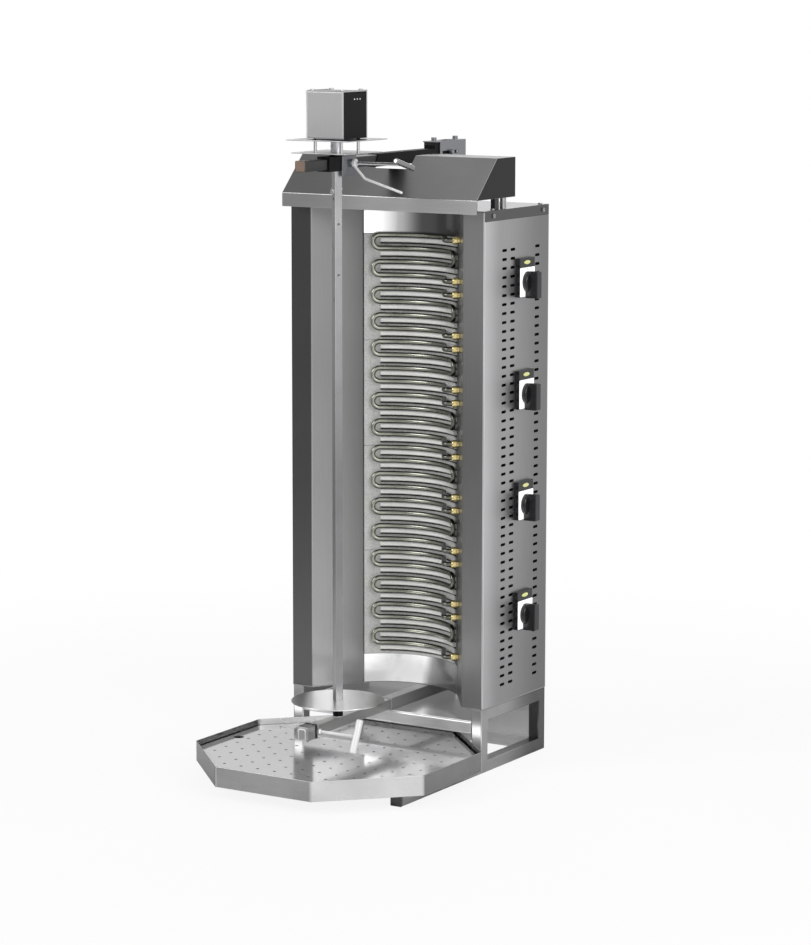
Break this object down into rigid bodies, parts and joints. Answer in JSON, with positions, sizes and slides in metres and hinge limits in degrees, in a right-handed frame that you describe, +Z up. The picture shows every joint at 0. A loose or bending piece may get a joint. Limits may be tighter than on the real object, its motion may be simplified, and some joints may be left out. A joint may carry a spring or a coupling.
{
  "type": "doner kebab machine",
  "caption": "Upright electric grill with a curved heater wall, a motor-driven vertical spit on telescopic arms, a canopy and an octagonal drip tray on a tube base.",
  "frame": {"origin": "on the floor, under the middle of the machine's bounding box", "axes": "+Z up, -Y to the front, where the spit and the tray are, +X to the right of someone who faces the machine"},
  "size_m": [0.428, 0.5846, 1.0919],
  "materials": {
    "frame_tube": "satin",
    "casing": "brushed",
    "deck_sheet": "polished",
    "board": "matte",
    "heater_tube": "heat-dulled satin",
    "brass": "satin",
    "black_plastic": "semi-gloss",
    "lamp_lens": "translucent gloss",
    "pale_plastic": "matte",
    "bracket": "satin",
    "black_metal": "satin",
    "plug": "matte",
    "bright_rod": "bright",
    "bright_sheet": "brushed",
    "turned_metal": "turned",
    "gearbox": "cast",
    "spit_steel": "satin",
    "tray_steel": "brushed",
    "plate_steel": "polished"
  },
  "bodies": {
    "machine": {"base_left_frame": "frame_tube", "base_right_frame": "frame_tube", "base_cross_rails": "frame_tube", "base_deck": "deck_sheet", "base_back_panel": "casing", "left_pillar": "casing", "right_pillar": "casing", "left_side_cover": "casing", "right_side_cover": "casing", "back_cover": "casing", "top_cover": "casing", "bottom_plate": "casing", "heater_wall": "casing", "reflectors": "deck_sheet", "insulation_boards": "board", "heating_element_1": "heater_tube", "heating_element_2": "heater_tube", "heating_element_3": "heater_tube", "heating_element_4": "heater_tube", "heating_element_5": "heater_tube", "heating_element_6": "heater_tube", "heating_element_7": "heater_tube", "heating_element_8": "heater_tube", "heater_glands": "brass", "switch_bodies": "black_plastic", "switch_bezels": "black_plastic", "pilot_lamps": "lamp_lens", "terminal_block": "pale_plastic", "cable_gland": "black_plastic", "canopy": "casing", "canopy_blocks": "black_plastic", "fasteners": "casing", "rear_bracket": "bracket", "arm_sleeves": "black_metal"},
    "upper_carriage": {"upper_arm": "frame_tube", "arm_plug": "plug", "bearing_block": "black_metal", "clamp_plate": "bracket", "heat_plates": "bright_sheet", "plate_posts": "bright_rod", "motor_housing": "black_metal", "motor_cover": "bright_sheet", "gear_motor": "gearbox"},
    "upper_clamp": {"upper_clamp_screw": "bright_rod"},
    "lever": {"lock_lever": "bright_rod"},
    "spit": {"drive_hub": "turned_metal", "spit_bar": "spit_steel", "spit_pin": "bright_rod", "spit_disc": "spit_steel", "disc_hub": "black_metal"},
    "lower_carriage": {"lower_arm": "frame_tube", "pivot_pin": "turned_metal", "lower_collar": "frame_tube"},
    "lower_clamp": {"lower_clamp_screw": "bright_rod"},
    "knob_1": {"knob_1": "black_plastic"},
    "knob_2": {"knob_2": "black_plastic"},
    "knob_3": {"knob_3": "black_plastic"},
    "knob_4": {"knob_4": "black_plastic"},
    "tray": {"drip_tray": "tray_steel"},
    "plate": {"drip_plate": "plate_steel"}
  },
  "joints": [
    {"name": "upper_slide", "type": "slide", "parent": "machine", "child": "upper_carriage", "axis": [0, 1, 0], "range_m": [-0.01, 0.05]},
    {"name": "lower_slide", "type": "slide", "parent": "machine", "child": "lower_carriage", "axis": [0, 1, 0], "range_m": [-0.01, 0.05]},
    {"name": "spit_spin", "type": "hinge", "parent": "upper_carriage", "child": "spit", "pos_m": [0, -0.07825, 0.9776], "axis": [0, 0, 1], "continuous": true},
    {"name": "upper_clamp_turn", "type": "hinge", "parent": "upper_carriage", "child": "upper_clamp", "pos_m": [0.02, -0.05725, 0.9776], "axis": [1, 0, 0], "range_deg": [-180, 180]},
    {"name": "lock_lever_turn", "type": "hinge", "parent": "upper_carriage", "child": "lever", "pos_m": [0.02, -0.05725, 0.9776], "axis": [1, 0, 0], "range_deg": [-45, 45]},
    {"name": "lower_clamp_turn", "type": "hinge", "parent": "lower_carriage", "child": "lower_clamp", "pos_m": [0.02, -0.15275, 0.0933], "axis": [1, 0, 0], "range_deg": [-180, 180]},
    {"name": "knob_1_turn", "type": "hinge", "parent": "machine", "child": "knob_1", "pos_m": [0.181, 0.19025, 0.782], "axis": [1, 0, 0], "range_deg": [0, 270]},
    {"name": "knob_2_turn", "type": "hinge", "parent": "machine", "child": "knob_2", "pos_m": [0.181, 0.19025, 0.602], "axis": [1, 0, 0], "range_deg": [0, 270]},
    {"name": "knob_3_turn", "type": "hinge", "parent": "machine", "child": "knob_3", "pos_m": [0.181, 0.19025, 0.422], "axis": [1, 0, 0], "range_deg": [0, 270]},
    {"name": "knob_4_turn", "type": "hinge", "parent": "machine", "child": "knob_4", "pos_m": [0.181, 0.19025, 0.242], "axis": [1, 0, 0], "range_deg": [0, 270]},
    {"name": "tray_slide", "type": "slide", "parent": "machine", "child": "tray", "axis": [0, -1, 0], "range_m": [0, 0.15]},
    {"name": "plate_lift", "type": "slide", "parent": "tray", "child": "plate", "axis": [0, 0, 1], "range_m": [0, 0.018]}
  ],
  "couplings": [
    {"joint": "lower_slide", "follows": "upper_slide", "ratio": 1}
  ]
}
